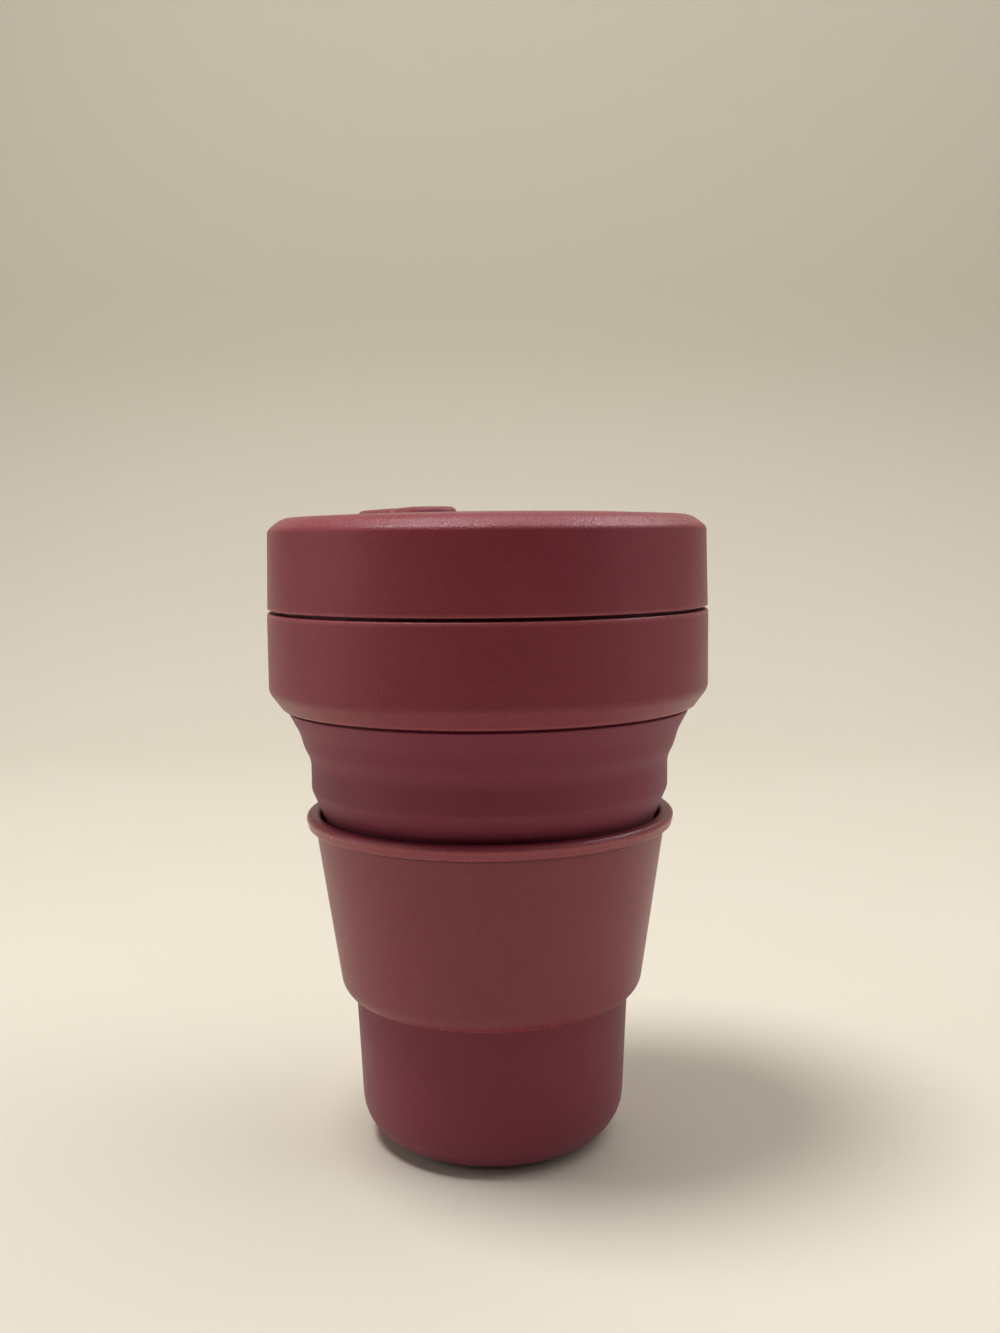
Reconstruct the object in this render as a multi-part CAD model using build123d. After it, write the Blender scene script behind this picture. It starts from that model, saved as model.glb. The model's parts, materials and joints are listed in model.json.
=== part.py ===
"""Collapsible travel cup: a folding silicone cup in a rigid threaded collar, with a heat sleeve,
a screw lid, a lid seal and a sip-hole stopper on a flexible strap.

Units are millimetres. The origin is the centre of the foot on the table, and +Z is the cup's axis.
Every turned part is an outline of (radius, height) points revolved about that axis.
"""
import os
from math import atan, cos, radians, sin, tan

from build123d import *

# Silicone cup: three stiff tiers and three thin folds, from the table up
base_radius = 29.05           # outside of the base tier where its wall meets the table plane
base_corner = 9.9             # rounding between the base wall and the foot
base_height = 42.0
base_floor = 3.0
tier_lean = 2.7               # degrees that the base and middle walls lean outwards
tier_wall = 2.1
fold_wall = 1.3
lower_fold_height = 11.0
middle_step = 3.25            # radius gained from the base tier to the middle tier
middle_height = 13.0
middle_fold_height = 13.5
middle_fold_hollow = 0.55     # how far the middle fold bows inwards from a straight cone
upper_step = 4.65             # radius gained from the middle tier to the upper tier
upper_height = 6.5
upper_fold_height = 11.5
upper_fold_waist = 6.0        # height above the upper tier where the upper fold is most hollow
upper_fold_hollow = 0.25      # how far it bows inwards there
mouth_step = 4.85             # radius gained from the upper tier to the collar's mouth
tier_edge = 3.0               # height over which a tier's wall thickens from its fold
short_tier_edge = 2.2         # the same on the upper tier, which is shorter

# Silicone rim, locked into the collar
rim_height = 4.0
tongue_height = 9.0
tongue_wall = 1.2
rim_waist = 1.4               # height above the mouth where the rim starts to spread to the channel

# Collar
collar_overhang = 3.9         # how far the collar stands out from the silicone at its mouth
collar_wall = 1.9
collar_chamfer_width = 2.8
collar_chamfer_height = 3.8
collar_corner = 3.0           # rounding between the skirt and the chamfer
collar_height = 20.8
collar_mouth_gap = 0.3        # between the collar's underside and the silicone
ledge_thickness = 2.4
neck_wall = 1.9
neck_height = 14.8

# Screw thread: two ridges round the neck, and two inside the lid half a pitch lower
thread_lead = 8.0             # rise of one ridge in a full turn
thread_starts = 2
thread_turns = 0.8
thread_foot = 2.6             # from the ledge to the centre of the lid's ridges
thread_root = 1.6             # width at the wall
thread_crest = 0.7            # width at the tip
thread_sink = 0.3             # how far a ridge is rooted in its wall
thread_gap = 0.3              # from a ridge's tip to the opposite wall

# Lid
lid_gap = 0.7                 # between the lid's skirt and the collar's ledge
lid_set_back = 0.1            # the lid's lower edge stands in from the collar by this
lid_draft = 0.35              # radius the skirt loses towards its top
lid_height = 20.2
lid_shoulder_width = 3.2      # chamfer between the skirt and the top
lid_shoulder_height = 3.0
lid_shoulder_round = 1.0
lid_dome = 0.6                # how much the top rises inwards from the chamfer
lid_dome_reach = 14.0         # over this radius, to the flat middle
lid_dome_round = 30.0
lid_plate = 2.4
skirt_clearance = 0.9         # between the neck and the lid's skirt, room for the thread
edge_round = 0.5

# Lid seal
seal_height = 2.2
seal_width = 2.6
seal_clearance = 0.15
seal_rib_wall = 1.3
seal_rib_height = 1.4

# Heat sleeve
sleeve_reach = 9.0            # how far the sleeve comes down over the base tier
sleeve_lip_drop = 5.6         # from the upper tier down to the sleeve's lip
sleeve_wall = 1.5
sleeve_foot_clearance = 0.45  # to the middle tier at its lower edge
sleeve_head_clearance = 0.2   # to the middle fold at the lip
sleeve_grip = 0.22            # to the base tier at the sleeve's lower edge
shoulder_angle = 58.0         # degrees from the vertical at the lower edge
shoulder_round = 6.4
shoulder_inner_share = 0.5    # rounding inside the shoulder as a share of the outside one
sleeve_edge = 0.35            # width of the sleeve's lower edge
sleeve_edge_round = 1.0
fillet_share = 0.84           # most of a straight stretch that its rounding may take
lip_height = 3.0
lip_overhang = 2.2
lip_round = 1.0
lip_edge_round = 0.5          # rounding of the lip's lower edge
lip_lean = 0.7                # radius the lip's rim loses towards its lower edge

# Stopper: anchor button, strap, plug and finger tab
sip_hole_inset = 15.9         # from the lid's edge to the centre of the sip hole
sip_hole_bearing = 134.0      # degrees round the lid
strap_angle = 107.8           # degrees, direction from the anchor to the sip hole
strap_length = 34.2           # anchor centre to sip hole centre
strap_thickness = 2.5
anchor_radius = 5.4
plug_head_radius = 8.5
recess_depth = 1.1
recess_clearance = 0.3
strap_seat = 0.05
strap_round = 0.8             # rounding of the strap's top edge
hinge_distance = 11.0         # anchor centre to the line where the strap bends
hinge_gap = 0.6
hinge_neck = 1.1
hinge_neck_length = 3.2
sip_hole_radius = 5.0
sip_boss_wall = 1.4
sip_boss_depth = 2.2
plug_clearance = 0.4
plug_taper = 0.5
plug_depth = 4.6
tab_length = 3.4
tab_root = 1.7                # how far the tab's root reaches in under the head's round edge
tab_width = 9.0
tab_thickness = 1.5
stem_radius = 3.0
stem_clearance = 0.05
button_radius = 4.6
button_thickness = 1.4
button_clearance = 0.15       # to the underside of the lid's plate

# Heights of the cup's stages above the table
lean = tan(radians(tier_lean))
base_top = base_height
middle_bottom = base_top + lower_fold_height
middle_top = middle_bottom + middle_height
upper_bottom = middle_top + middle_fold_height
upper_top = upper_bottom + upper_height
mouth = upper_top + upper_fold_height
rim_top = mouth + rim_height
ledge = mouth + collar_height
neck_top = ledge + neck_height
sleeve_bottom = base_top - sleeve_reach
sleeve_top = upper_bottom - sleeve_lip_drop
lid_bottom = ledge + lid_gap
lid_top = lid_bottom + lid_height
plate_bottom = lid_top - lid_plate

# Outside radii of the cup's stages
base_top_radius = base_radius + lean * base_height
middle_radius = base_top_radius + middle_step
middle_top_radius = middle_radius + lean * middle_height
upper_radius = middle_top_radius + upper_step
mouth_radius = upper_radius + mouth_step

# Collar, neck and lid
collar_radius = mouth_radius + collar_overhang
channel_outer = collar_radius - collar_wall
channel_inner = channel_outer - tongue_wall
neck_inner = channel_inner - neck_wall
skirt_inner = channel_inner + skirt_clearance
lid_foot_radius = collar_radius - lid_set_back
lid_head_radius = lid_foot_radius - lid_draft

# Screw thread
thread_depth = skirt_clearance - thread_gap
thread_pitch = thread_lead / thread_starts

# Stopper's heights, and its place: +X runs from the anchor to the sip hole
recess_floor = lid_top - recess_depth
strap_bottom = recess_floor + strap_seat
strap_top = strap_bottom + strap_thickness
hinge_height = strap_bottom + strap_thickness / 2
sip_hole_place = Rot(0, 0, sip_hole_bearing) * Pos(lid_head_radius - sip_hole_inset, 0, 0)
stopper_place = Pos(*sip_hole_place.position) * Rot(0, 0, strap_angle) * Pos(-strap_length, 0, 0)


def turned(outline, rounds=()):
    """Revolve a closed outline of (radius, height) points; rounds lists (corner index, radius)."""
    face = make_face(Polyline(outline, close=True))
    for corner, radius in rounds:
        vertex = face.vertices().sort_by_distance((*outline[corner], 0))[0]
        face = fillet(vertex, radius)
    return revolve(Plane.XZ * face, Axis.Z)


def cone_radius(start, rise, slope):
    """Radius of a leaning wall that has the given start radius, after a rise."""
    return start + slope * rise


def base_tier():
    """Bottom tier: drafted wall, rounded foot, flat floor, with its top edge thinned to the fold."""
    inner_foot = base_radius - tier_wall
    inner_top = base_top_radius - tier_wall
    thinning = base_top - tier_edge
    outline = [
        (0, 0),
        (base_radius, 0),
        (base_top_radius, base_top),
        (base_top_radius - fold_wall, base_top),
        (inner_top - lean * tier_edge, thinning),
        (inner_foot, base_floor),
        (0, base_floor),
    ]
    return turned(outline, [(1, base_corner), (5, base_corner - tier_wall)])


def tier(bottom_radius, top_radius, bottom, top, edge):
    """Stiff ring between two folds: over each edge its wall thins to the thickness of a fold."""
    slope = (top_radius - bottom_radius) / (top - bottom)
    low_inner = cone_radius(bottom_radius, edge, slope) - tier_wall
    high_inner = cone_radius(top_radius, -edge, slope) - tier_wall
    outline = [
        (bottom_radius - fold_wall, bottom),
        (bottom_radius, bottom),
        (top_radius, top),
        (top_radius - fold_wall, top),
        (high_inner, top - edge),
        (low_inner, bottom + edge),
    ]
    return turned(outline)


def fold(bottom_radius, top_radius, bottom, top, crest, bow):
    """Thin web between two stages: its outside bends by bow at the crest's height above its foot."""
    slope = (top_radius - bottom_radius) / (top - bottom)
    crest_radius = cone_radius(bottom_radius, crest, slope) + bow
    outside = [(bottom_radius, bottom), (crest_radius, bottom + crest), (top_radius, top)]
    inside = [(radius - fold_wall, height) for radius, height in reversed(outside)]
    return turned(outside + inside)


def silicone_rim():
    """Top edge of the silicone cup: a band under the neck wall and a tongue up the collar's channel."""
    waist = mouth + rim_waist
    outline = [
        (mouth_radius - fold_wall, mouth),
        (mouth_radius, mouth),
        (mouth_radius, waist),
        (channel_outer, waist + channel_outer - mouth_radius),
        (channel_outer, rim_top + tongue_height),
        (channel_inner, rim_top + tongue_height),
        (channel_inner, rim_top),
        (neck_inner, rim_top),
    ]
    return turned(outline)


def ridges(wall_radius, outward, height):
    """Screw ridges, one for each start, rooted in a wall; outward is 1 on the neck and -1 in the lid."""
    root = (wall_radius - outward * thread_sink, thread_root / 2)
    crest = (wall_radius + outward * thread_depth, thread_crest / 2)
    section = make_face(Polyline(
        (root[0], -root[1]), (crest[0], -crest[1]), crest, root, close=True))
    path = Helix(thread_lead, thread_lead * thread_turns, wall_radius)
    ridge = Pos(0, 0, height) * sweep(Plane.XZ * section, path=path, is_frenet=True)
    return Part() + [Rot(0, 0, start * 360 / thread_starts) * ridge for start in range(thread_starts)]


def collar():
    """Rigid grip ring: chamfered skirt, ledge under the lid and the neck that carries the thread."""
    lower_edge = mouth_radius + collar_mouth_gap
    channel_top = ledge - ledge_thickness
    waist = mouth + rim_waist
    outline = [
        (lower_edge, mouth),
        (collar_radius - collar_chamfer_width, mouth),
        (collar_radius, mouth + collar_chamfer_height),
        (collar_radius, ledge),
        (channel_inner, ledge),
        (channel_inner, neck_top),
        (neck_inner, neck_top),
        (neck_inner, rim_top),
        (channel_inner, rim_top),
        (channel_inner, channel_top),
        (channel_outer, channel_top),
        (channel_outer, waist + channel_outer - mouth_radius),
        (lower_edge, waist + collar_mouth_gap),
    ]
    rounds = [(1, edge_round), (2, collar_corner), (3, edge_round), (5, edge_round), (6, edge_round)]
    return turned(outline, rounds) + ridges(channel_inner, 1, ledge + thread_foot + thread_pitch / 2)


def sleeve():
    """Heat sleeve: leaning wall, shoulder curving in to the base tier, rolled lip at the top."""
    foot = middle_radius + sleeve_foot_clearance
    fold_slope = (upper_radius - middle_top_radius) / (upper_bottom - middle_top)
    head = cone_radius(middle_top_radius, sleeve_top - middle_top, fold_slope) + sleeve_head_clearance
    slope = (head - foot) / (sleeve_top - middle_bottom)
    opening = cone_radius(base_radius, sleeve_bottom, lean) + sleeve_grip
    edge = opening + sleeve_edge
    rise = tan(radians(90 - shoulder_angle))

    def inner(height):
        return cone_radius(foot, height - middle_bottom, slope)

    def outer(height):
        return inner(height) + sleeve_wall

    corner = (outer(sleeve_bottom) - slope * rise * edge) / (1 - slope * rise)
    corner_height = sleeve_bottom + rise * (corner - edge)
    wall_drop = sleeve_wall * cos(radians(shoulder_angle))
    wall_rise = sleeve_wall * sin(radians(shoulder_angle))
    floor_height = sleeve_bottom + wall_rise + rise * (opening - edge + wall_drop)
    inner_corner = (inner(floor_height) - slope * rise * opening) / (1 - slope * rise)
    inner_height = floor_height + rise * (inner_corner - opening)
    reach = (corner - edge) / sin(radians(shoulder_angle))
    half_turn = (radians(shoulder_angle) - atan(slope)) / 2
    shoulder = min(shoulder_round, fillet_share * reach / tan(half_turn))
    lip_bottom = sleeve_top - lip_height
    lip_radius = outer(lip_bottom) + lip_overhang
    outline = [
        (opening, sleeve_bottom),
        (edge, sleeve_bottom),
        (corner, corner_height),
        (outer(lip_bottom), lip_bottom),
        (lip_radius - lip_lean, lip_bottom),
        (lip_radius, sleeve_top),
        (inner(sleeve_top), sleeve_top),
        (inner_corner, inner_height),
        (opening, floor_height),
    ]
    rounds = [(1, sleeve_edge_round), (2, shoulder), (4, lip_edge_round), (5, lip_round)]
    rounds += [(6, lip_round), (7, shoulder * shoulder_inner_share)]
    return turned(outline, rounds)


def lid_seal():
    """Flat ring seal in the lid's groove, just above the neck's rim."""
    bottom = neck_top + seal_clearance
    outer = skirt_inner - seal_clearance
    inner = outer - seal_width
    outline = [
        (inner, bottom),
        (outer, bottom),
        (outer, bottom + seal_height),
        (inner, bottom + seal_height),
    ]
    return turned(outline)


def strap_outline(spread):
    """Outline of the stopper seen from above, larger all round by spread."""
    anchor = Circle(anchor_radius + spread)
    plug = Pos(strap_length, 0) * Circle(plug_head_radius + spread)
    return make_hull(anchor.edges() + plug.edges())


def lid():
    """Screw lid: drafted skirt, chamfer, domed plate with the stopper's recess and the sip hole."""
    seat = neck_top + 2 * seal_clearance + seal_height
    rib_outer = skirt_inner - 2 * seal_clearance - seal_width
    rib_inner = rib_outer - seal_rib_wall
    shoulder_top = lid_top - lid_dome
    shoulder_top_radius = lid_head_radius - lid_shoulder_width
    outline = [
        (skirt_inner, lid_bottom),
        (lid_foot_radius, lid_bottom),
        (lid_head_radius, shoulder_top - lid_shoulder_height),
        (shoulder_top_radius, shoulder_top),
        (shoulder_top_radius - lid_dome_reach, lid_top),
        (0, lid_top),
        (0, plate_bottom),
        (rib_inner, plate_bottom),
        (rib_inner, seat - seal_rib_height),
        (rib_outer, seat - seal_rib_height),
        (rib_outer, seat),
        (skirt_inner, seat),
    ]
    rounds = [
        (1, edge_round / 2),
        (2, lid_shoulder_round),
        (3, lid_shoulder_round),
        (4, lid_dome_round),
    ]
    shell = turned(outline, rounds) + ridges(skirt_inner, -1, ledge + thread_foot)
    boss_bottom = plate_bottom - sip_boss_depth
    hole = sip_hole_place * Pos(0, 0, boss_bottom)
    boss_radius = sip_hole_radius + sip_boss_wall
    boss = hole * extrude(Circle(boss_radius), plate_bottom - boss_bottom)
    bore = hole * extrude(Circle(sip_hole_radius), lid_top - boss_bottom)
    recess = stopper_place * Pos(0, 0, recess_floor) * extrude(
        strap_outline(recess_clearance), recess_depth)
    stem_hole = stopper_place * Pos(0, 0, plate_bottom) * extrude(
        Circle(stem_radius + stem_clearance), lid_plate)
    return shell + boss - recess - bore - stem_hole


def strap_slab():
    """The whole strap as a flat slab with a rounded top edge."""
    slab = extrude(strap_outline(0), strap_thickness)
    return fillet(slab.edges().group_by(Axis.Z)[-1], strap_round)


def stopper_anchor():
    """Fixed end of the stopper: strap end, stem through the lid and the button that holds it."""
    neck_end = hinge_distance - strap_thickness / 2 - hinge_gap
    block_end = neck_end - hinge_neck_length
    block = split(strap_slab(), Plane.YZ.offset(block_end), keep=Keep.BOTTOM)
    neck = split(extrude(strap_outline(0), hinge_neck), Plane.YZ.offset(neck_end), keep=Keep.BOTTOM)
    strap_end = Pos(0, 0, strap_bottom) * (block + neck)
    button_top = plate_bottom - button_clearance
    stem = Pos(0, 0, button_top) * extrude(Circle(stem_radius), strap_bottom - button_top)
    button = Pos(0, 0, button_top - button_thickness) * extrude(Circle(button_radius), button_thickness)
    return stopper_place * (strap_end + stem + button)


def stopper_flap():
    """Moving end of the stopper: strap, plug for the sip hole and a thin finger tab."""
    head = split(strap_slab(), Plane.YZ.offset(hinge_distance), keep=Keep.TOP)
    hinge_width = 2 * (anchor_radius + (plug_head_radius - anchor_radius) * hinge_distance / strap_length)
    roll = Pos(hinge_distance, 0, strap_thickness / 2) * Rot(90, 0, 0) * Cylinder(
        strap_thickness / 2, hinge_width)
    tab_size = tab_root + tab_length
    tab_centre = strap_length + plug_head_radius + tab_length - tab_size / 2
    tab = Pos(tab_centre, 0, strap_thickness - tab_thickness) * extrude(
        RectangleRounded(tab_size, tab_width, tab_thickness), tab_thickness)
    strap = Pos(0, 0, strap_bottom) * (head + roll + tab)
    top_radius = sip_hole_radius - plug_clearance
    plug = Pos(strap_length, 0, strap_bottom - plug_depth / 2) * Cone(
        top_radius - plug_taper, top_radius, plug_depth)
    return stopper_place * (strap + plug)


parts = {
    "base_tier": base_tier(),
    "lower_fold": fold(
        base_top_radius, middle_radius, base_top, middle_bottom, lower_fold_height / 2, 0),
    "middle_tier": tier(middle_radius, middle_top_radius, middle_bottom, middle_top, tier_edge),
    "middle_fold": fold(
        middle_top_radius, upper_radius, middle_top, upper_bottom,
        middle_fold_height / 2, -middle_fold_hollow),
    "upper_tier": tier(upper_radius, upper_radius, upper_bottom, upper_top, short_tier_edge),
    "upper_fold": fold(
        upper_radius, mouth_radius, upper_top, mouth, upper_fold_waist, -upper_fold_hollow),
    "silicone_rim": silicone_rim(),
    "collar": collar(),
    "sleeve": sleeve(),
    "lid": lid(),
    "lid_seal": lid_seal(),
    "stopper_anchor": stopper_anchor(),
    "stopper_flap": stopper_flap(),
}

os.makedirs("parts", exist_ok=True)
for name, shape in parts.items():
    export_step(shape, f"parts/{name}.step")
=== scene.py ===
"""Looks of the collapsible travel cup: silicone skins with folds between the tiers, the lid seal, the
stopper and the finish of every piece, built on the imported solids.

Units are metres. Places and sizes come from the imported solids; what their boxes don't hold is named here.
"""

import json
import math

import bmesh
import bpy
import numpy as np
from mathutils import Matrix, Vector


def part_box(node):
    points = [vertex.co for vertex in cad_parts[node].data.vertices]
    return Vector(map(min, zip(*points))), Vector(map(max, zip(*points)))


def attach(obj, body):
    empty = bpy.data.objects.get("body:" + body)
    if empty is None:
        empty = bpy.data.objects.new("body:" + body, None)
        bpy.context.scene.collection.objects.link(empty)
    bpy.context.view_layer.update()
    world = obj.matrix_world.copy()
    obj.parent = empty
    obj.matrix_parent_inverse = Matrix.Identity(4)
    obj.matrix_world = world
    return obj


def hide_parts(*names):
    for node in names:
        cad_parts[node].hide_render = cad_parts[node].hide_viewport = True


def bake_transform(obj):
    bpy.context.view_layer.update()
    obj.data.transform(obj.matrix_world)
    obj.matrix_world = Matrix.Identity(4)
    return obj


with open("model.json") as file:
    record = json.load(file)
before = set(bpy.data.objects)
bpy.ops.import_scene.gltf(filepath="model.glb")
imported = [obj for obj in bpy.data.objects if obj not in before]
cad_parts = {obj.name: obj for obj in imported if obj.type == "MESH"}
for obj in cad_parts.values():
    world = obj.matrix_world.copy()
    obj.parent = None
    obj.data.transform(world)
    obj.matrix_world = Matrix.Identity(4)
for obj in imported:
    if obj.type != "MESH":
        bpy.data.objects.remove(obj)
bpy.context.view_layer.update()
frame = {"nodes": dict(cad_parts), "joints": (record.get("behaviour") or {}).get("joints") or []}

mm = 0.001
full_turn = 2 * math.pi

# Silicone walls
tier_lean = math.tan(math.radians(2.7))   # outward lean of the base and middle tiers
tier_wall = 2.1 * mm
fold_wall = 1.3 * mm
tier_edge = 3.0 * mm                      # height over which a tier thins down to its fold
base_floor = 3.0 * mm
base_corner = 9.9 * mm                    # rounding between the base wall and the foot
join_round = 1.6 * mm                     # softness of the bends between tiers and folds
middle_fold_hollow = 0.55 * mm            # how far the middle fold bows inwards from a straight cone
upper_fold_crest = (3.0 * mm, 0.2 * mm)    # height above the upper tier, and how far it stands out there
upper_fold_waist = (6.2 * mm, -0.25 * mm)  # the same where the fold is hollow
rim_height = 4.0 * mm
rim_waist = 1.4 * mm                      # height above the mouth where the rim starts to spread
collar_groove = 0.8 * mm                  # depth of the groove under the collar's lower edge
groove_start = (0.1 * mm, 0.75 * mm)      # inset, and drop below the mouth, where the groove starts
groove_drop = 0.5 * mm                    # drop below the mouth where it has its full depth
tongue_wall = 1.2 * mm
neck_wall = 1.9 * mm

# Lid
lid_gap = 0.7 * mm                        # between the lid's skirt and the collar's ledge
lid_draft = 0.35 * mm                     # radius the skirt loses towards its top
shoulder_width = 3.2 * mm                 # chamfer between the skirt and the top
shoulder_height = 3.0 * mm
shoulder_round = 1.0 * mm                 # rounding at both ends of the chamfer
soft_shoulder_height = 2.65 * mm          # height of the softened lid's chamfer
soft_foot_round = 1.8 * mm                # rounding at its lower end
soft_head_round = 7.0 * mm                # and at its upper end
shoulder_centre = (6.8 * mm, 5.6 * mm)    # where its rays start: in from the skirt, and below the top
shoulder_depth = 9.0 * mm                 # how far below the top its outline starts and ends
shoulder_tail = 14.0 * mm                 # how far in from the skirt its outline ends
shoulder_tolerance = 0.12 * mm            # points this near to the plain outline belong to the shoulder
lowest_bearing = -0.1                     # radians: the shoulder ends at this ray
lid_dome = 0.6 * mm                       # how much the top rises inwards from the chamfer
lid_dome_reach = 14.0 * mm                # radius over which it rises

# Lid seal
seal_width = 2.6 * mm
seal_hollow = 0.45 * mm                   # depth of the hollow below
seal_lip = 0.7 * mm                       # flat at each side of the hollow

# Stopper
hinge_distance = 11.0 * mm                # from the anchor's centre to the hinge line
strap_length = 34.2 * mm
anchor_radius = 5.4 * mm
plug_head_radius = 8.5 * mm
strap_thickness = 2.5 * mm
strap_edge = 1.4 * mm
hinge_groove = 1.25 * mm                  # depth of the groove where the strap bends
hinge_groove_width = 1.3 * mm
stopper_root = 0.4 * mm                   # how far the plug and the stem reach into the strap
plug_tip_radius = 3.9 * mm
plug_bead = (4.6 * mm, 1.1 * mm)          # radius, and height above the plug's tip
plug_waist = (4.2 * mm, 2.3 * mm)
plug_root_radius = 4.5 * mm
stem_radius = 3.0 * mm
button_tip_radius = 3.6 * mm
button_rim = (4.6 * mm, 1.3 * mm)         # radius, and height above the button's underside
button_thickness = 1.4 * mm
tab_thickness = 1.5 * mm
tab_edge = 0.6 * mm
tab_half_length = 2.55 * mm
tab_half_width = 4.5 * mm
tab_reach = 3.4 * mm                      # how far the tab stands out from the strap's wide end
rib_height = 0.22 * mm
rib_spacing = 1.5 * mm

segments = 288                            # steps round a turned piece
outline_step = 0.6 * mm                   # longest stretch between two points of an outline
merge_distance = 1e-6                     # points nearer to each other than this are one


# ---------------------------------------------------------------- shapes

def low(node):
    """Height of a solid's lowest point."""
    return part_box(node)[0].z


def high(node):
    """Height of a solid's highest point."""
    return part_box(node)[1].z


def reach(node):
    """Outside radius of a turned solid."""
    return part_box(node)[1].x


def rounded(outline, radii, steps=8):
    """Closed outline with an arc at each corner. The arc's centre is on the corner's bisector, its ends
    touch the two sides, and its points turn about the centre in even steps. A radius is cut to what the
    shorter side leaves room for."""
    points = np.array(outline, float)
    to_last = np.roll(points, 1, axis=0) - points
    to_next = np.roll(points, -1, axis=0) - points
    last_length = np.linalg.norm(to_last, axis=1)
    next_length = np.linalg.norm(to_next, axis=1)
    to_last /= last_length[:, None]
    to_next /= next_length[:, None]
    half_angle = np.arccos(np.clip((to_last * to_next).sum(axis=1), -1, 1)) / 2
    room = 0.48 * np.minimum(last_length, next_length)
    touch = np.minimum(np.array(radii, float) / np.tan(half_angle), room)
    radius = touch * np.tan(half_angle)
    bisector = to_last + to_next
    bisector /= np.maximum(np.linalg.norm(bisector, axis=1), 1e-9)[:, None]
    centre = points + bisector * (radius / np.sin(half_angle))[:, None]
    start = points + to_last * touch[:, None] - centre
    side = np.sign(to_last[:, 1] * to_next[:, 0] - to_last[:, 0] * to_next[:, 1])
    angle = (side * (math.pi - 2 * half_angle))[:, None] * np.linspace(0, 1, steps + 1)
    across = centre[:, :1] + start[:, :1] * np.cos(angle) - start[:, 1:] * np.sin(angle)
    up = centre[:, 1:] + start[:, :1] * np.sin(angle) + start[:, 1:] * np.cos(angle)
    arcs = np.stack((across, up), axis=-1).reshape(-1, 2)
    apart = np.linalg.norm(arcs - np.roll(arcs, 1, axis=0), axis=1) > 1e-8
    return divided(arcs[apart])


def divided(outline):
    """Closed outline with points added along its long stretches, at even lengths and not near a corner."""
    closed = np.vstack((outline, outline[:1]))
    corners = np.concatenate(([0], np.cumsum(np.linalg.norm(np.diff(closed, axis=0), axis=1))))
    evenly = np.arange(0, corners[-1], outline_step)
    clear = np.abs(evenly[:, None] - corners).min(axis=1) > 0.3 * outline_step
    stations = np.sort(np.concatenate((corners[:-1], evenly[clear])))
    return np.stack([np.interp(stations, corners, closed[:, side]) for side in (0, 1)], axis=-1)


def skin(name, grid, open_ends=False, crease=38):
    """Mesh through a grid of points (rows, columns, 3). Columns always close on themselves, and rows do
    unless the ends are open. Points that meet are merged, which closes poles and tapered ends."""
    rows, columns = grid.shape[:2]
    corner = np.arange(rows * columns).reshape(rows, columns)
    beside = np.roll(corner, -1, axis=1)
    quads = np.stack((corner, beside, np.roll(beside, -1, axis=0), np.roll(corner, -1, axis=0)), axis=-1)
    quads = quads[: rows - 1 if open_ends else rows].reshape(-1, 4)
    mesh = bpy.data.meshes.new(name)
    mesh.from_pydata(grid.reshape(-1, 3).tolist(), [], quads.tolist())
    form = bmesh.new()
    form.from_mesh(mesh)
    bmesh.ops.remove_doubles(form, verts=form.verts, dist=merge_distance)
    bmesh.ops.recalc_face_normals(form, faces=form.faces)
    form.to_mesh(mesh)
    form.free()
    mesh.polygons.foreach_set("use_smooth", np.ones(len(mesh.polygons), bool))
    mesh.set_sharp_from_angle(angle=math.radians(crease))
    piece = bpy.data.objects.new(name, mesh)
    bpy.context.scene.collection.objects.link(piece)
    return piece


def turned(name, outline, centre=(0, 0)):
    """Surface of revolution about a vertical line: each point (radius, height) of a closed outline goes
    round to (radius cos a, radius sin a, height), for even angles a over a full turn."""
    angle = np.arange(segments)[:, None] * full_turn / segments
    radius, height = outline.T
    across = centre[0] + radius * np.cos(angle)
    along = centre[1] + radius * np.sin(angle)
    return skin(name, np.stack((across, along, height + 0 * angle), axis=-1))


# ---------------------------------------------------------------- silicone cup

def cone(start_radius, start, height, slope=tier_lean):
    """Radius that a leaning wall has at a height, from its radius at its start."""
    return start_radius + slope * (height - start)


def middle_split():
    """Height and radius on the middle tier where the foot's skin meets the waist's."""
    height = (low("middle_tier") + high("middle_tier")) / 2
    return cone(reach("lower_fold"), low("middle_tier"), height), height


def upper_split():
    """Height and radius on the upper tier where the waist's skin meets the mouth's."""
    return reach("upper_tier"), (low("upper_tier") + high("upper_tier")) / 2


def foot_skin():
    """Base tier, lower fold and lower half of the middle tier as one wall."""
    base_top = high("base_tier")
    top_radius = reach("base_tier")
    base_radius = cone(top_radius, base_top, 0)
    middle_bottom = low("middle_tier")
    middle_radius = reach("lower_fold")
    split_radius, split = middle_split()
    outline = [
        (0, 0),
        (base_radius, 0),
        (top_radius, base_top),
        (middle_radius, middle_bottom),
        (split_radius, split),
        (split_radius - tier_wall, split),
        (cone(middle_radius, 0, tier_edge) - tier_wall, middle_bottom + tier_edge),
        (middle_radius - fold_wall, middle_bottom),
        (top_radius - fold_wall, base_top),
        (cone(top_radius, 0, -tier_edge) - tier_wall, base_top - tier_edge),
        (cone(base_radius, 0, base_floor) - tier_wall, base_floor),
        (0, base_floor),
    ]
    inner_corner = base_corner - tier_wall
    join = join_round
    radii = [0, base_corner, join, join, 0, 0, join, join, join, join, inner_corner, 0]
    piece = turned("cup_foot", rounded(outline, radii))
    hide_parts("base_tier", "lower_fold", "middle_tier")
    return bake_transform(piece)


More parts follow.
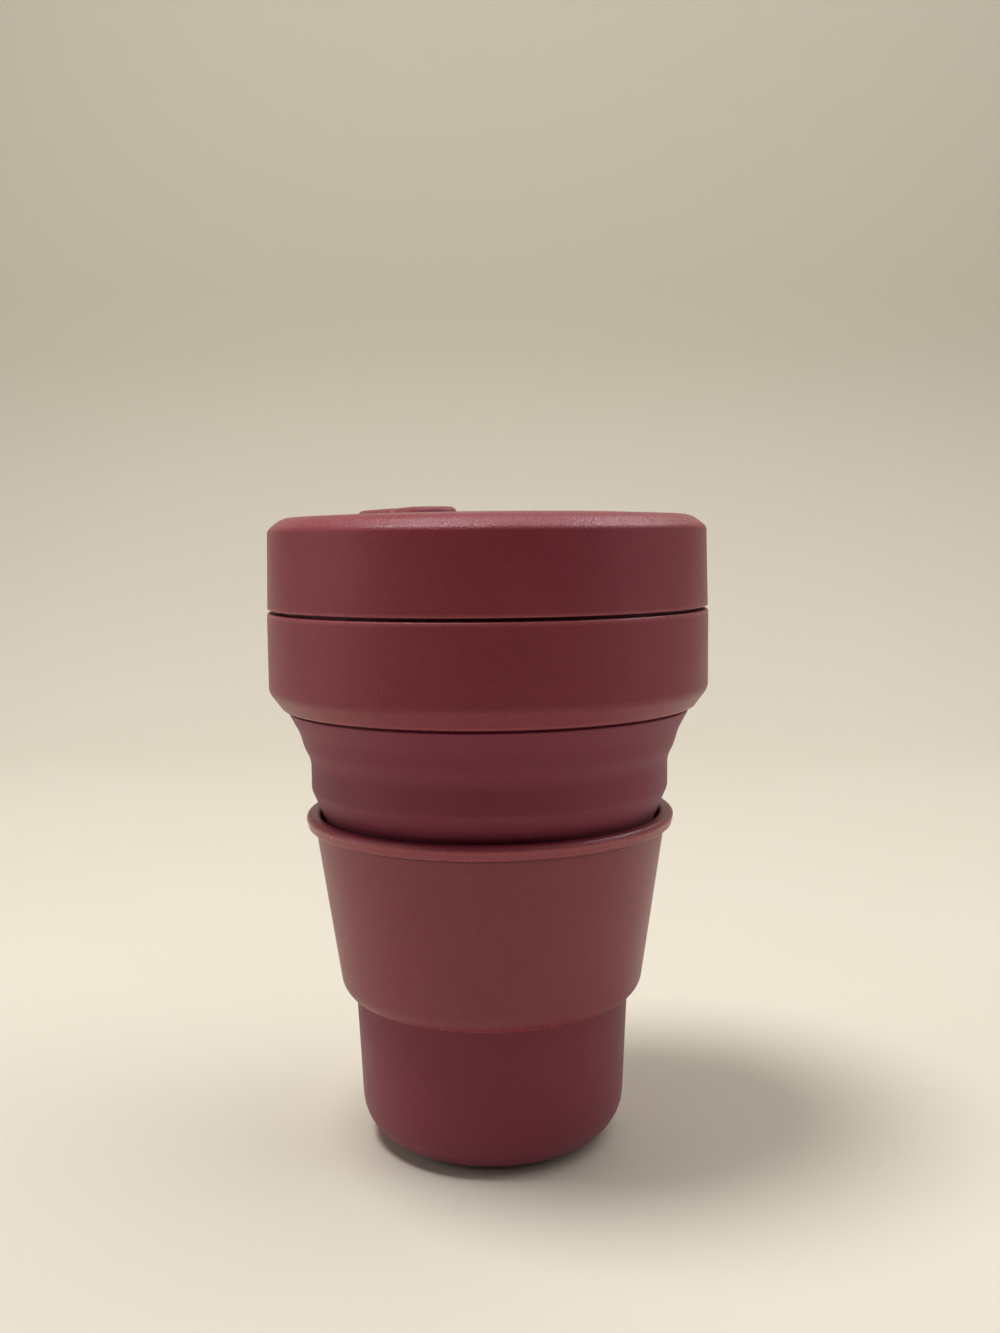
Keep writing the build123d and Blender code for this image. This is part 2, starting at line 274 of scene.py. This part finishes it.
def waist_skin():
    """Upper half of the middle tier, middle fold and lower half of the upper tier as one wall."""
    middle_top = high("middle_tier")
    middle_radius = reach("middle_tier")
    upper_bottom = low("upper_tier")
    upper_radius = reach("upper_tier")
    split_radius, split = middle_split()
    high_radius, high_split = upper_split()
    halfway = (middle_top + upper_bottom) / 2
    hollow_radius = (middle_radius + upper_radius) / 2 - middle_fold_hollow
    outline = [
        (split_radius, split),
        (middle_radius, middle_top),
        (hollow_radius, halfway),
        (upper_radius, upper_bottom),
        (high_radius, high_split),
        (high_radius - tier_wall, high_split),
        (upper_radius - tier_wall, upper_bottom + tier_edge / 2),
        (upper_radius - fold_wall, upper_bottom),
        (hollow_radius - fold_wall, halfway),
        (middle_radius - fold_wall, middle_top),
        (cone(middle_radius, 0, -tier_edge) - tier_wall, middle_top - tier_edge),
        (split_radius - tier_wall, split),
    ]
    join, slack = 2 * join_round, 6 * join_round
    radii = [0, join, slack, join, 0, 0, join, join, slack, join, join, 0]
    piece = turned("cup_waist", rounded(outline, radii))
    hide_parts("middle_fold", "upper_tier")
    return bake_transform(piece)


def mouth_skin():
    """Upper half of the upper tier, upper fold, rim under the neck and tongue up the collar's channel."""
    upper_top = high("upper_tier")
    upper_radius = reach("upper_tier")
    mouth = high("upper_fold")
    mouth_radius = reach("upper_fold")
    channel = reach("silicone_rim")
    tongue_inside = channel - tongue_wall
    neck_inside = tongue_inside - neck_wall
    waist = mouth + rim_waist
    rim_top = mouth + rim_height
    tongue_top = high("silicone_rim")
    split_radius, split = upper_split()
    slope = (mouth_radius - upper_radius) / (mouth - upper_top)
    bends = [
        (cone(upper_radius, 0, rise, slope) + bow, upper_top + rise)
        for rise, bow in (upper_fold_crest, upper_fold_waist)]
    inner_bends = [(radius - fold_wall, height) for radius, height in reversed(bends)]
    groove_radius = mouth_radius - collar_groove
    outline = [
        (split_radius, split),
        (upper_radius, upper_top),
        *bends,
        (mouth_radius - groove_start[0], mouth - groove_start[1]),
        (groove_radius, mouth - groove_drop),
        (groove_radius, waist + groove_radius - mouth_radius),
        (channel, waist + channel - mouth_radius),
        (channel, tongue_top),
        (tongue_inside, tongue_top),
        (tongue_inside, rim_top),
        (neck_inside, rim_top),
        (mouth_radius - fold_wall, mouth),
        *inner_bends,
        (upper_radius - fold_wall, upper_top),
        (upper_radius - tier_wall, upper_top - tier_edge / 2),
        (split_radius - tier_wall, split),
    ]
    join, slack = 2 * join_round, 6 * join_round
    bend_radii = [0, 2 * join, slack, slack]
    groove_radii = [0.25 * mm, 0.15 * mm, 0.3 * mm]
    radii = [*bend_radii, *groove_radii, 0, 0, 0, 0, 0.5 * mm, join, slack, slack, join, join, 0]
    piece = turned("cup_mouth", rounded(outline, radii))
    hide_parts("upper_fold", "silicone_rim")
    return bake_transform(piece)


# ---------------------------------------------------------------- lid

def arm(outline, centre):
    """Bearing and length of the rays from a centre to the points of an outline, in order of bearing."""
    across, up = (outline - np.array(centre)).T
    bearing, length = np.arctan2(up, across), np.hypot(across, up)
    order = np.argsort(bearing)
    return bearing[order], length[order]


def shoulder_rays(bearing, chamfer_height, foot_round, head_round):
    """Lengths of the rays, at given bearings, from the shoulder's centre to the outside of the lid: up the
    skirt, in over the chamfer, up the dome and back inside."""
    head = reach("lid") - lid_draft
    top = high("lid")
    outline = rounded(
        [
            (head, top - shoulder_depth),
            (head, top - lid_dome - chamfer_height),
            (head - shoulder_width, top - lid_dome),
            (head - shoulder_width - lid_dome_reach, top),
            (head - shoulder_tail, top - shoulder_depth),
        ],
        [0, foot_round, head_round, 0, 0], steps=16)
    centre = (head - shoulder_centre[0], top - shoulder_centre[1])
    return np.interp(bearing, *arm(outline, centre))


def lid_shell(crease=30):
    """Lid with a softer shoulder: a merged copy of the solid, cut by level planes across its shoulder. The
    points of the shoulder slide along rays from a centre inside it: a point at the length of the plain
    chamfer's outline goes to the length of an outline with wide roundings."""
    top = high("lid")
    centre_radius = reach("lid") - lid_draft - shoulder_centre[0]
    centre_height = top - shoulder_centre[1]
    form = bmesh.new()
    form.from_mesh(frame["nodes"]["lid"].data)
    bmesh.ops.remove_doubles(form, verts=form.verts, dist=merge_distance)
    over_chamfer = np.arange(-4.6, -0.6, 0.2)      # millimetres above the top
    at_dome_foot = np.arange(-0.58, -0.4, 0.03)
    levels = np.concatenate((over_chamfer, at_dome_foot)) * mm + top
    for level in levels.tolist():
        bmesh.ops.bisect_plane(
            form, geom=[*form.verts, *form.edges, *form.faces],
            plane_co=(0, 0, level), plane_no=(0, 0, 1))
    mesh = bpy.data.meshes.new("lid_shell")
    form.to_mesh(mesh)
    form.free()
    places = np.empty(len(mesh.vertices) * 3)
    mesh.vertices.foreach_get("co", places)
    places = places.reshape(-1, 3)
    radius = np.hypot(places[:, 0], places[:, 1])
    out, up = radius - centre_radius, places[:, 2] - centre_height
    bearing, length = np.arctan2(up, out), np.hypot(up, out)
    plain = shoulder_rays(bearing, shoulder_height, shoulder_round, shoulder_round)
    soft = shoulder_rays(bearing, soft_shoulder_height, soft_foot_round, soft_head_round)
    near = (np.abs(length - plain) < shoulder_tolerance) & (bearing > lowest_bearing) & (out > 0)
    scale = np.where(near, soft / plain, 1)
    new_radius = centre_radius + out * scale
    places[:, :2] *= np.where(near, new_radius / np.maximum(radius, 1e-9), 1)[:, None]
    places[:, 2] = centre_height + up * scale
    mesh.vertices.foreach_set("co", places.ravel())
    mesh.polygons.foreach_set("use_smooth", np.ones(len(mesh.polygons), bool))
    mesh.set_sharp_from_angle(angle=math.radians(crease))
    piece = bpy.data.objects.new("lid_shell", mesh)
    bpy.context.scene.collection.objects.link(piece)
    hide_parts("lid")
    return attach(piece, "screw_lid")


# ---------------------------------------------------------------- lid seal

def seal_ring():
    """Lid seal: a flat ring with a soft hollow below that closes on the neck's rim."""
    bottom, top = low("lid_seal"), high("lid_seal")
    outer = reach("lid_seal")
    inner = outer - seal_width
    outline = [
        (inner, bottom),
        (inner + seal_lip, bottom),
        ((inner + outer) / 2, bottom + seal_hollow),
        (outer - seal_lip, bottom),
        (outer, bottom),
        (outer, top),
        (inner, top),
    ]
    radii = np.array([0.3, 0.3, 0.5, 0.3, 0.3, 0.35, 0.35]) * mm
    piece = turned("seal_ring", rounded(outline, radii))
    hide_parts("lid_seal")
    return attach(piece, "seal_ring")


# ---------------------------------------------------------------- stopper

def stopper_frame():
    """Anchor point and the two level directions of the strap, from the stopper's hinge."""
    hinge = next(joint for joint in frame["joints"] if joint["name"] == "stopper_flip")
    axis = Vector(hinge["axis"])
    ahead = Vector((-axis.y, axis.x, 0)).normalized()
    side = Vector((-ahead.y, ahead.x, 0))
    origin = Vector(hinge["pos_m"]) - ahead * hinge_distance
    return np.array(origin), np.array(ahead), np.array(side)


def slab_rings(bottom, top, under_edge, top_edge, flat_rings, edge_rings):
    """Rings of a flat piece, from the middle of its underside, out round its rounded edge and back to the
    middle of its top: each ring's inset from the outline, its share of the way out, and its height."""
    outwards = np.linspace(0, 1, flat_rings, endpoint=False)
    inwards = 1 - np.linspace(0, 1, flat_rings + 1)[1:]
    quarter = np.linspace(0, math.pi / 2, edge_rings)
    inset = np.concatenate((
        np.full(flat_rings, under_edge),
        under_edge * (1 - np.sin(quarter)),
        top_edge * (1 - np.cos(quarter)),
        np.full(flat_rings, top_edge)))
    share = np.concatenate((outwards, np.ones(2 * edge_rings), inwards))
    height = np.concatenate((
        np.full(flat_rings, bottom),
        bottom + under_edge * (1 - np.cos(quarter)),
        top - top_edge * (1 - np.sin(quarter)),
        np.full(flat_rings, top)))
    return inset[:, None], share[:, None], height[:, None]


def along_strap(forward, sideways, level):
    """Points from their distances ahead of the anchor along the strap and to its side, and their heights."""
    origin, ahead, side = stopper_frame()
    grid = origin + forward[..., None] * ahead + sideways[..., None] * side
    grid[..., 2] = level
    return grid


def strap_plan(bend_steps=48, side_steps=72):
    """Outline of two circles and the straight lines that join them, as (centre, radius, bearing) of the
    circle that each point lies on: the centre and radius slide evenly along the straight lines."""
    tangent = math.acos((anchor_radius - plug_head_radius) / strap_length)
    slide = np.linspace(0, 1, side_steps, endpoint=False)
    bend = np.linspace(0, 1, bend_steps, endpoint=False)
    share = np.concatenate((np.ones(bend_steps), 1 - slide, np.zeros(bend_steps), slide))
    bearing = np.concatenate((
        -tangent + 2 * tangent * bend,
        np.full(side_steps, tangent),
        tangent + (full_turn - 2 * tangent) * bend,
        np.full(side_steps, -tangent),
    ))
    return share * strap_length, anchor_radius + share * (plug_head_radius - anchor_radius), bearing


def strap():
    """Strap: rings of its plan's outline, with rounded edges. A groove across the top, of bell-shaped
    depth, makes the hinge."""
    top = high("stopper_flap")
    bottom = top - strap_thickness
    centre, radius, bearing = strap_plan()
    inset, share, height = slab_rings(bottom, top, strap_edge / 2, strap_edge, flat_rings=14, edge_rings=8)
    spread = share * (radius - inset)
    forward = centre + spread * np.cos(bearing)
    sideways = spread * np.sin(bearing)
    groove = hinge_groove * np.exp(-(((forward - hinge_distance) / hinge_groove_width) ** 2))
    lift = (height - bottom) / strap_thickness
    grid = along_strap(forward, sideways, height - groove * lift)
    piece = skin("stopper_strap", grid, open_ends=True)
    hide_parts("stopper_anchor", "stopper_flap")
    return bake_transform(piece)


def stopper_plug():
    """Plug under the strap's wide end: a tapered stub with a soft bead that grips the sip hole."""
    origin, ahead, _ = stopper_frame()
    hole = origin + strap_length * ahead
    top = high("stopper_flap") - strap_thickness + stopper_root
    bottom = low("stopper_flap")
    outline = [
        (0, bottom),
        (plug_tip_radius, bottom),
        (plug_bead[0], bottom + plug_bead[1]),
        (plug_waist[0], bottom + plug_waist[1]),
        (plug_root_radius, top),
        (0, top),
    ]
    radii = [0, 0.5 * mm, 0.6 * mm, 0.6 * mm, 0, 0]
    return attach(turned("stopper_plug", rounded(outline, radii), hole[:2]), "stopper")


def stopper_button():
    """Stem through the lid and the flared button below it that keeps the strap on."""
    origin, _, _ = stopper_frame()
    bottom = low("stopper_anchor")
    top = high("stopper_flap") - strap_thickness + stopper_root
    outline = [
        (0, bottom),
        (button_tip_radius, bottom),
        (button_rim[0], bottom + button_rim[1]),
        (stem_radius, bottom + button_thickness),
        (stem_radius, top),
        (0, top),
    ]
    radii = [0, 0.6 * mm, 0.3 * mm, 0, 0, 0]
    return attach(turned("stopper_button", rounded(outline, radii), origin[:2]), "screw_lid")


def finger_tab(steps=96):
    """Pull tab: rings of a squared oval, |x/a|^4 + |y/b|^4 = 1, that shrink at the rounded edges, with
    three low grip ribs across the top."""
    top = high("stopper_flap")
    middle = strap_length + plug_head_radius + tab_reach - tab_half_length
    bearing = np.arange(steps) * full_turn / steps
    bottom = top - tab_thickness
    inset, share, height = slab_rings(bottom, top, tab_edge, tab_edge, flat_rings=16, edge_rings=7)
    across = np.sign(np.cos(bearing)) * np.sqrt(np.abs(np.cos(bearing)))
    beside = np.sign(np.sin(bearing)) * np.sqrt(np.abs(np.sin(bearing)))
    forward = middle + share * (tab_half_length - inset) * across
    sideways = share * (tab_half_width - inset) * beside
    rib = rib_height * (1 - np.cos((forward - middle) * full_turn / rib_spacing)) / 2
    grid = along_strap(forward, sideways, height - rib * (height > top - 0.5 * tab_edge))
    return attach(skin("finger_tab", grid, open_ends=True), "stopper")


# ---------------------------------------------------------------- finishes

class Value:
    """One output of a shader node. Arithmetic on it adds Math nodes to its finish."""

    def __init__(self, finish, socket):
        self.finish = finish
        self.socket = socket

    def math(self, operation, first, second):
        return self.finish.math(operation, first, second)

    def __add__(self, other):
        return self.math("ADD", self, other)

    def __sub__(self, other):
        return self.math("SUBTRACT", self, other)

    def __rsub__(self, other):
        return self.math("SUBTRACT", other, self)

    def __mul__(self, other):
        return self.math("MULTIPLY", self, other)

    __radd__ = __add__
    __rmul__ = __mul__


class Finish:
    """A procedural material in the object's own coordinates, ending in one Principled shader."""

    def __init__(self, name):
        self.material = bpy.data.materials.new(name)
        self.material.use_nodes = True
        self.tree = self.material.node_tree
        self.shader = self.tree.nodes["Principled BSDF"]
        self.place = self.node("TexCoord", {}, {}, "Object")

    def node(self, kind, settings, inputs, output=0):
        """Add a node: its settings first, then the values or links of its sockets."""
        made = self.tree.nodes.new("ShaderNode" + kind)
        for setting, value in settings.items():
            setattr(made, setting, value)
        self.feed(made, inputs)
        return Value(self, made.outputs[output])

    def feed(self, node, inputs):
        """Give a node's sockets their values or links."""
        for name, value in inputs.items():
            if isinstance(value, Value):
                self.tree.links.new(value.socket, node.inputs[name])
            else:
                node.inputs[name].default_value = value

    def math(self, operation, first, second=0.0):
        """One Math node."""
        return self.node("Math", {"operation": operation}, {0: first, 1: second})

    def axis(self, letter):
        """Distance along one of the object's own axes."""
        return self.node("SeparateXYZ", {}, {"Vector": self.place}, letter)

    def ring(self, height, half_width):
        """Band round the axis: 1 at a height, falling evenly to 0 at the half width above and below."""
        away = self.math("ABSOLUTE", self.axis("Z") - height)
        return self.between(away, 1, 0, 0, half_width)

    def noise(self, size, detail=2.0, roughness=0.5):
        """Smooth noise from 0 to 1 whose patches are about that size across."""
        settings = {"Vector": self.place, "Scale": 1 / size, "Detail": detail, "Roughness": roughness}
        return self.node("TexNoise", {}, settings)

    def between(self, share, first, second, low_end, high_end):
        """Value that goes from first to second as share goes from its low end to its high end."""
        ends = {
            "Value": share, "From Min": low_end, "From Max": high_end, "To Min": first, "To Max": second}
        return self.node("MapRange", {"clamp": True}, ends)

    def tint(self, share, first, second):
        """Colour that goes from first to second with share."""
        return self.node("Mix", {"data_type": "RGBA"}, {0: share, 6: first, 7: second}, 2)

    def relief(self, height, distance, strength, below=None):
        """Bump from a height that goes from 0 to 1, over a distance, on top of another bump."""
        inputs = {"Height": height, "Distance": distance, "Strength": strength}
        if below is not None:
            inputs["Normal"] = below
        return self.node("Bump", {}, inputs)


def colour(red, green, blue):
    """Linear colour with alpha from display values of 0 to 255."""
    display = np.array((red, green, blue)) / 255
    linear = np.where(display <= 0.04045, display / 12.92, ((display + 0.055) / 1.055) ** 2.4)
    return (*linear.tolist(), 1.0)


# Painted shade: dark tone for the shadow under the sleeve's lip
painted_shade_tone = colour(60, 18, 26)


def moulded_plastic(name, tone, pale_tone, highlight_tone, specular, edges, shadow_band=None):
    """Satin moulded plastic: spark-eroded grain and faint flow mottling. The edges, each a height, a half
    width and a share, are painted paler in patches as highlights and made smoother as wear. A painted
    shadow darkens one more band under a lip, a height and a half width."""
    finish = Finish(name)
    mottle = finish.noise(17 * mm, 3)
    haze = finish.noise(2.6 * mm, 4, 0.6)
    grain = finish.noise(0.34 * mm, 3, 0.55)
    speck = finish.noise(0.7 * mm, 2, 0.5)
    ripple = finish.noise(9 * mm, 2)
    body = finish.tint(finish.between(mottle * 0.7 + haze * 0.3, 0, 1, 0.35, 0.65), tone, pale_tone)
    lifted = finish.between(grain, 0, 0.16, 0.55, 0.8)
    # Share of each edge band: its paler colour is painted highlight, its smoother roughness is wear
    wear_and_highlight = sum(finish.ring(height, half_width) * share for height, half_width, share in edges)
    # Painted highlight: edge bands tinted paler in patches toward the highlight tone
    painted_highlight = wear_and_highlight * finish.between(mottle, 0.7, 1, 0.35, 0.65)
    base = finish.tint(painted_highlight, finish.tint(lifted, body, pale_tone), highlight_tone)
    # Painted shadow: the band under a lip is darkened toward the dark tone
    if shadow_band:
        base = finish.tint(finish.ring(*shadow_band) * 0.8, base, painted_shade_tone)
    glint = wear_and_highlight * ((speck - 0.5) * 0.8 - 0.04)
    gloss = finish.between(mottle, 0.33, 0.39, 0.35, 0.65) + (grain - 0.5) * 0.2 + glint
    soft = finish.relief(ripple, 0.05 * mm, 0.15)
    normal = finish.relief(grain, 0.13 * mm, 1.0, soft)
    finish.feed(finish.shader, {
        "Base Color": base, "Roughness": gloss, "Normal": normal, "IOR": 1.48,
        "Specular IOR Level": specular})
    return finish.material


def silicone(name, tone, pale_tone):
    """Matt silicone rubber: a fine bloom that lifts the colour in patches, and a soft uneven surface."""
    finish = Finish(name)
    bloom = finish.noise(12 * mm, 4, 0.55)
    fleck = finish.noise(0.9 * mm, 2)
    grain = finish.noise(0.3 * mm, 2)
    ripple = finish.noise(14 * mm, 2)
    body = finish.tint(finish.between(bloom, 0, 1, 0.35, 0.65), tone, pale_tone)
    base = finish.tint(finish.between(fleck, 0, 0.2, 0.62, 0.8), body, pale_tone)
    gloss = finish.between(bloom, 0.56, 0.64, 0.35, 0.65) + (grain - 0.5) * 0.1
    soft = finish.relief(ripple, 0.1 * mm, 0.25)
    normal = finish.relief(grain, 0.06 * mm, 0.5, soft)
    finish.feed(finish.shader, {
        "Base Color": base, "Roughness": gloss, "Normal": normal, "IOR": 1.43,
        "Sheen Weight": 0.12, "Sheen Roughness": 0.5})
    return finish.material


def dress(material, slot, *pieces):
    """Give pieces a finish. The slot argument is not used."""
    for piece in pieces:
        piece.data.materials.clear()
        piece.data.materials.append(material)


# ---------------------------------------------------------------- studio

lamp_tint = (1.0, 0.985, 0.96)
lamp_aim = (0, 0, 0.08)
room_glow = 0.05
soft_lamps = (                            # name, place, size, power
    ("overhead_left", (-0.34, -0.05, 1.25), 0.45, 11),
    ("overhead_right", (0.5, 0.1, 1.1), 1.4, 6),
    ("side_left", (-1.15, -0.14, 0.4), 0.8, 2.8),
    ("side_right", (1.15, -0.14, 0.45), 0.8, 1.8))
glint_lamps = (
    ("glint_left", (-0.34, -0.05, 1.25), 0.16, 3),
    ("glint_right", (0.62, 0.25, 0.95), 0.16, 5))


def softbox(name, place, size, power):
    """Round area lamp at a place, turned to face the cup."""
    lamp = bpy.data.lights.new(name, "AREA")
    lamp.shape = "DISK"
    lamp.size = size
    lamp.energy = power
    lamp.color = lamp_tint
    made = bpy.data.objects.new(name, lamp)
    made.location = place
    made.rotation_euler = (Vector(lamp_aim) - Vector(place)).to_track_quat("-Z", "Y").to_euler()
    bpy.context.scene.collection.objects.link(made)
    return made


def floor():
    """Pale floor that sweeps up into a backdrop: level, then a quarter circle, then upright."""
    front, reach_behind, bend, height, width = -3.0, 0.55, 0.35, 1.6, 6.0
    quarter = np.linspace(0, math.pi / 2, 33)
    depth = np.concatenate(([front], reach_behind + bend * np.sin(quarter), [reach_behind + bend]))
    level = np.concatenate(([0.0], bend * (1 - np.cos(quarter)), [height]))
    across = np.array([-width / 2, width / 2])
    points = np.stack(np.broadcast_arrays(across[None, :], depth[:, None], level[:, None]), axis=-1)
    corner = np.arange(len(depth) * 2).reshape(-1, 2)
    quads = np.stack((corner[:-1, 0], corner[:-1, 1], corner[1:, 1], corner[1:, 0]), axis=-1)
    mesh = bpy.data.meshes.new("floor")
    mesh.from_pydata(points.reshape(-1, 3).tolist(), [], quads.tolist())
    mesh.polygons.foreach_set("use_smooth", np.ones(len(mesh.polygons), bool))
    made = bpy.data.objects.new("floor", mesh)
    bpy.context.scene.collection.objects.link(made)
    finish = Finish("pale_counter")
    cloud = finish.noise(0.18, 2)
    counter = finish.tint(cloud, colour(226, 219, 204), colour(232, 226, 212))
    rise = finish.between(finish.axis("Z"), 0, 1, 0.0, 0.3)
    base = finish.tint(rise, counter, colour(200, 193, 177))
    finish.feed(finish.shader, {"Base Color": base, "Roughness": 0.7})
    made.data.materials.append(finish.material)


def studio():
    """Plain soft light: a strong overhead lamp to the left, a wide weak one to the right, one at each side,
    two small lamps that show in highlights alone, and an even pale room."""
    for lamp in soft_lamps:
        softbox(*lamp)
    for lamp in glint_lamps:
        softbox(*lamp).visible_diffuse = False
    world = bpy.data.worlds.new("room")
    world.use_nodes = True
    background = world.node_tree.nodes["Background"]
    background.inputs["Color"].default_value = (*lamp_tint, 1.0)
    background.inputs["Strength"].default_value = room_glow
    bpy.context.scene.world = world
    bpy.context.scene.view_settings.view_transform = "Standard"


camera_place = (0.00256, -0.29566, 0.13371)
focal_length = 36.03                      # millimetres, on a sensor 36 mm wide
camera_pitch = 5.47                       # degrees that it looks down
camera_roll = -0.59


def camera():
    """Camera a little above the cup's middle, looking slightly down, with its horizon a touch tilted."""
    lens = bpy.data.cameras.new("camera")
    lens.sensor_width = 36
    lens.lens = focal_length
    made = bpy.data.objects.new("camera", lens)
    pitch = Matrix.Rotation(math.radians(90 - camera_pitch), 4, "X")
    roll = Matrix.Rotation(math.radians(camera_roll), 4, "Z")
    made.matrix_world = Matrix.Translation(camera_place) @ pitch @ roll
    bpy.context.scene.collection.objects.link(made)
    bpy.context.scene.camera = made


# ---------------------------------------------------------------- the cup

camera()
studio()
floor()

cup = [foot_skin(), waist_skin(), mouth_skin()]
lid = lid_shell()
seal = seal_ring()
stopper = [strap(), stopper_plug(), stopper_button(), finger_tab()]

lid_foot = low("lid")
ledge = lid_foot - lid_gap
shoulder_foot = high("lid") - lid_dome - soft_shoulder_height
lip_top = high("sleeve")
lip_height = 3.0 * mm
lip_foot = lip_top - lip_height
# Band just under the lip's foot that gets the painted shadow of its overhang: height and half width
lip_shadow_band = (lip_foot - 0.35 * mm, 0.45 * mm)
# Bands painted paler as highlights and made smoother as wear: height, half width and share
shell_highlight_bands = (
    # Broad band over the lid's chamfer and the line at its foot: painted highlight where it faces the lamps
    (shoulder_foot + 1.4 * mm, 1.8 * mm, 0.85),
    (shoulder_foot, 0.5 * mm, 0.4),
    (lid_foot + 0.2 * mm, 0.6 * mm, 1),
    (ledge - 0.35 * mm, 0.7 * mm, 1),
    (low("collar"), 0.7 * mm, 1))
# Painted highlight lines on the sleeve, also made smoother: lip's foot, lip's face, lip's top edge, sleeve's
# foot
sleeve_highlight_bands = (
    (lip_foot + 0.35 * mm, 0.7 * mm, 1),
    (lip_top - lip_height / 2, lip_height / 2, 1),
    (lip_top - 1.2 * mm, 0.5 * mm, 1),
    (low("sleeve") + 0.2 * mm, 0.8 * mm, 1))

# Body tone, paler tone, and the tone of the painted highlights on the edges
shell_tones = colour(131, 46, 60), colour(136, 51, 64), colour(160, 78, 88)
sleeve_tones = colour(132, 49, 63), colour(137, 54, 67), colour(155, 68, 78)
shell = moulded_plastic("satin_shell", *shell_tones, 0.32, shell_highlight_bands)
sleeve_shell = moulded_plastic("satin_sleeve", *sleeve_tones, 0.45, sleeve_highlight_bands, lip_shadow_band)
rubber = silicone("cup_silicone", colour(121, 36, 58), colour(126, 41, 62))
seal_rubber = silicone("seal_silicone", colour(122, 44, 56), colour(127, 49, 60))
stopper_rubber = silicone("stopper_silicone", colour(135, 52, 63), colour(140, 57, 67))

nodes = frame["nodes"]
dress(rubber, "silicone", *cup)
dress(shell, "hard_plastic", nodes["collar"], lid)
dress(sleeve_shell, "sleeve_plastic", nodes["sleeve"])
dress(seal_rubber, "seal_silicone", seal)
dress(stopper_rubber, "stopper_silicone", *stopper)
